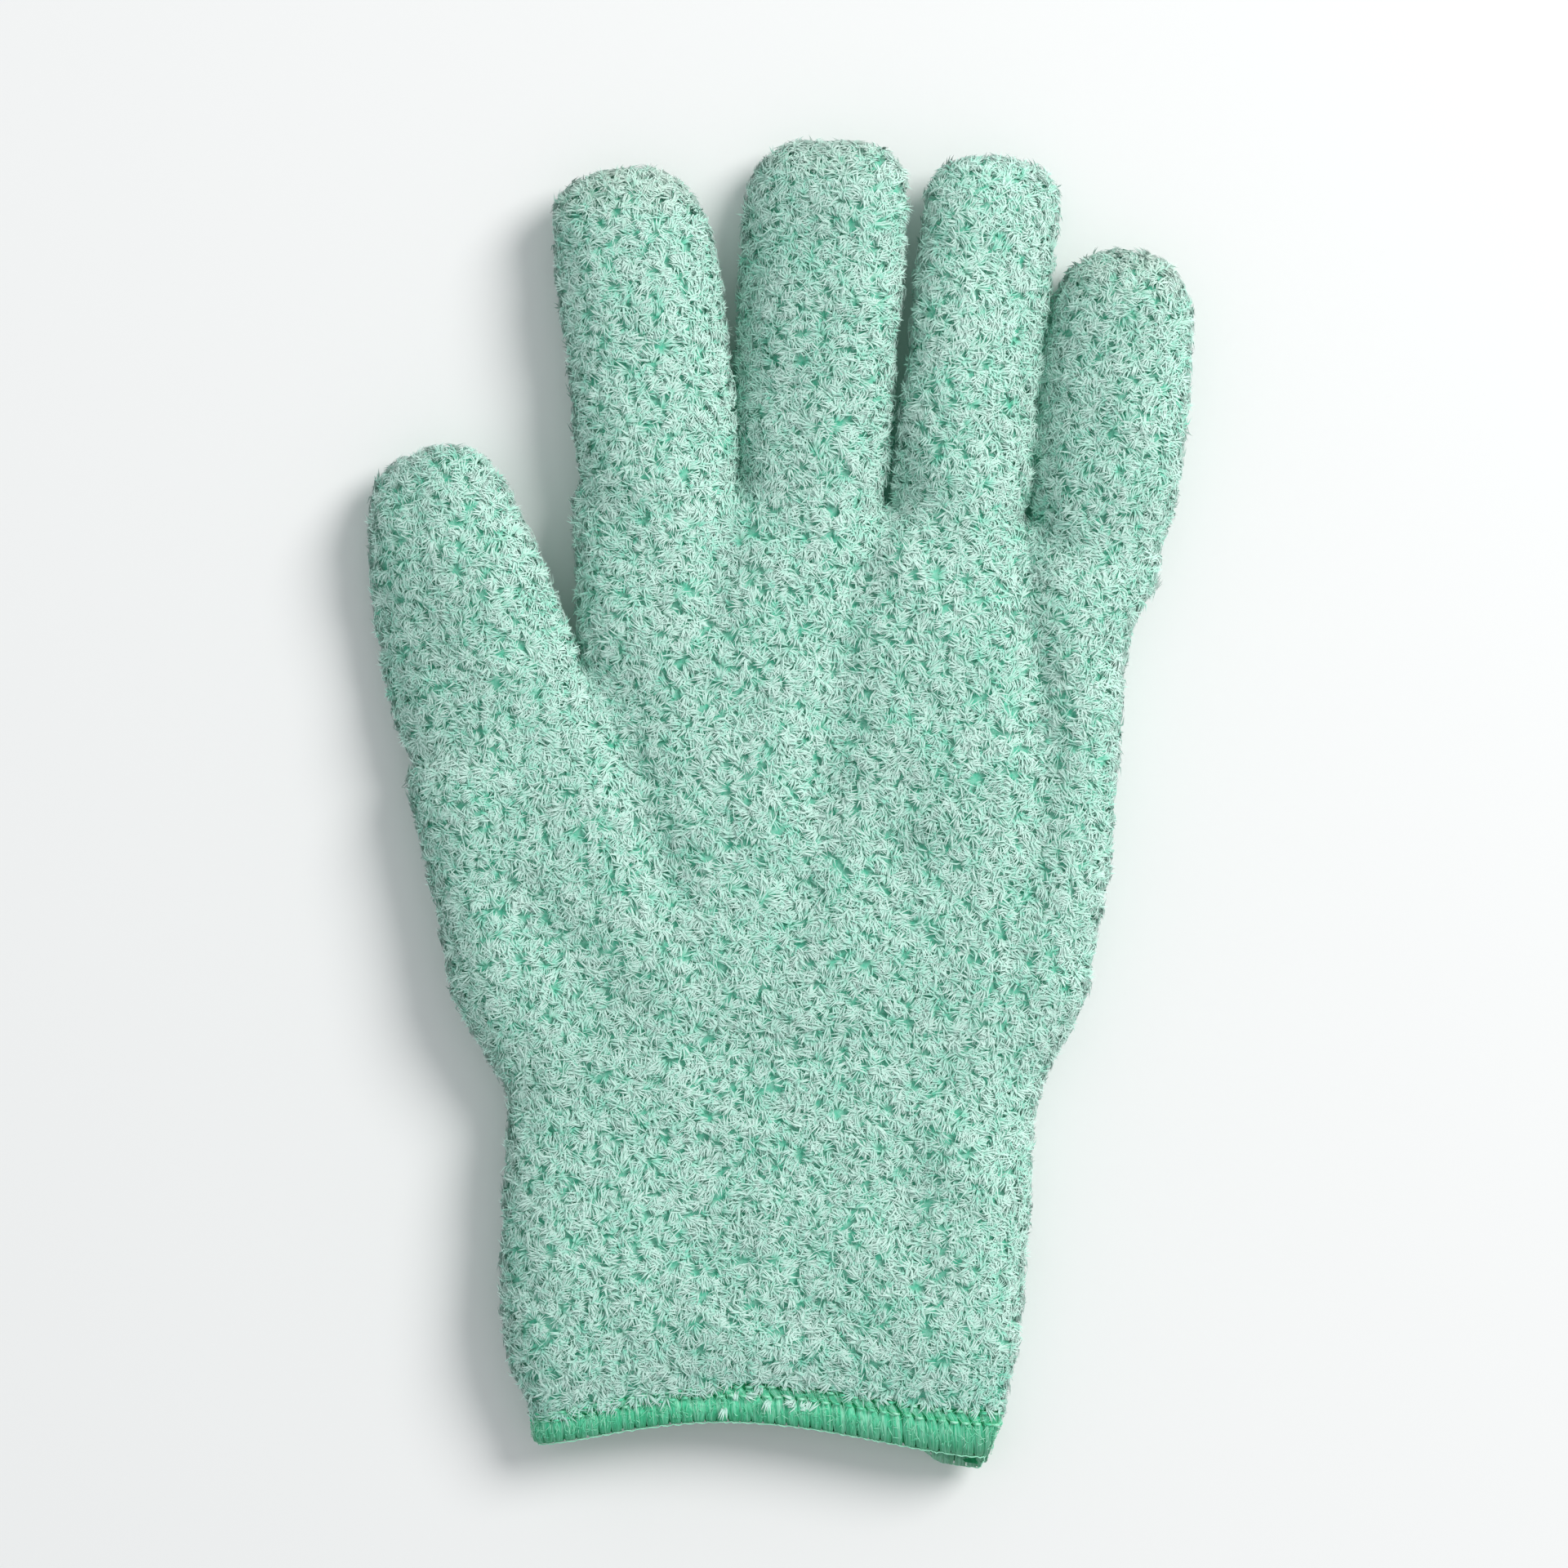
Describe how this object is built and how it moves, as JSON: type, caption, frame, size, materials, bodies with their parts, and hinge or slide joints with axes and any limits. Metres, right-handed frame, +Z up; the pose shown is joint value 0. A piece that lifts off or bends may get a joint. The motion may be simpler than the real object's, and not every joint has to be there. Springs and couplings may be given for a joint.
{
  "type": "wash glove",
  "caption": "Plush five-finger wash glove with a hollow hand cavity, an elastic cuff and an overlocked hem, lying flat.",
  "frame": {"origin": "on the surface the glove lies on, under the middle of its outline", "axes": "+Y towards the fingertips, +X towards the little finger, +Z up from the palm side that faces up"},
  "size_m": [0.1508, 0.2398, 0.017],
  "materials": {
    "plush_knit": "matt plush microfibre pile",
    "yarn_tail": "matt plush yarn",
    "elastic_yarn": "covered elastic yarn",
    "overlock_thread": "shiny textured polyester thread"
  },
  "bodies": {
    "palm": {"index_base": "plush_knit", "middle_base": "plush_knit", "ring_base": "plush_knit", "little_base": "plush_knit", "thumb_base": "plush_knit", "upper_palm": "plush_knit", "lower_palm": "plush_knit"},
    "cuff": {"cuff": "plush_knit", "cuff_elastic": "elastic_yarn", "hem_left_needle_thread": "overlock_thread", "hem_right_needle_thread": "overlock_thread", "hem_upper_looper_thread": "overlock_thread", "hem_lower_looper_thread": "overlock_thread"},
    "index_root": {"index_root_section": "plush_knit"},
    "index_tip": {"index_tip_section": "plush_knit", "index_tip_yarn_tail": "yarn_tail"},
    "middle_root": {"middle_root_section": "plush_knit"},
    "middle_tip": {"middle_tip_section": "plush_knit", "middle_tip_yarn_tail": "yarn_tail"},
    "ring_root": {"ring_root_section": "plush_knit"},
    "ring_tip": {"ring_tip_section": "plush_knit", "ring_tip_yarn_tail": "yarn_tail"},
    "little_root": {"little_root_section": "plush_knit"},
    "little_tip": {"little_tip_section": "plush_knit", "little_tip_yarn_tail": "yarn_tail"},
    "thumb_root": {"thumb_root_section": "plush_knit"},
    "thumb_tip": {"thumb_tip_section": "plush_knit", "thumb_tip_yarn_tail": "yarn_tail"}
  },
  "joints": [
    {"name": "index_root_bend", "type": "hinge", "parent": "palm", "child": "index_root", "pos_m": [-0.02333, 0.068, 0.0085], "axis": [1, 0, 0], "range_deg": [0, 85]},
    {"name": "index_middle_bend", "type": "hinge", "parent": "index_root", "child": "index_tip", "pos_m": [-0.02554, 0.091, 0.0085], "axis": [1, 0, 0], "range_deg": [0, 85]},
    {"name": "middle_root_bend", "type": "hinge", "parent": "palm", "child": "middle_root", "pos_m": [0.0072, 0.068, 0.0085], "axis": [1, 0, 0], "range_deg": [0, 85]},
    {"name": "middle_middle_bend", "type": "hinge", "parent": "middle_root", "child": "middle_tip", "pos_m": [0.00809, 0.0935, 0.0085], "axis": [1, 0, 0], "range_deg": [0, 85]},
    {"name": "ring_root_bend", "type": "hinge", "parent": "palm", "child": "ring_root", "pos_m": [0.03443, 0.0655, 0.0085], "axis": [1, 0, 0], "range_deg": [0, 85]},
    {"name": "ring_middle_bend", "type": "hinge", "parent": "ring_root", "child": "ring_tip", "pos_m": [0.03658, 0.09, 0.0085], "axis": [1, 0, 0], "range_deg": [0, 85]},
    {"name": "little_root_bend", "type": "hinge", "parent": "palm", "child": "little_root", "pos_m": [0.0594, 0.062, 0.0085], "axis": [1, 0, 0], "range_deg": [0, 85]},
    {"name": "little_middle_bend", "type": "hinge", "parent": "little_root", "child": "little_tip", "pos_m": [0.0615, 0.0805, 0.0085], "axis": [1, 0, 0], "range_deg": [0, 85]},
    {"name": "thumb_root_bend", "type": "hinge", "parent": "palm", "child": "thumb_root", "pos_m": [-0.0539, 0.02465, 0.0085], "axis": [0.9703, 0.2419, 0], "range_deg": [0, 60]},
    {"name": "thumb_middle_bend", "type": "hinge", "parent": "thumb_root", "child": "thumb_tip", "pos_m": [-0.05878, 0.04147, 0.0085], "axis": [0.9703, 0.2419, 0], "range_deg": [0, 80]},
    {"name": "wrist_bend", "type": "hinge", "parent": "palm", "child": "cuff", "pos_m": [-0.0014, -0.05, 0.0075], "axis": [-1, 0, 0], "range_deg": [0, 75]}
  ]
}
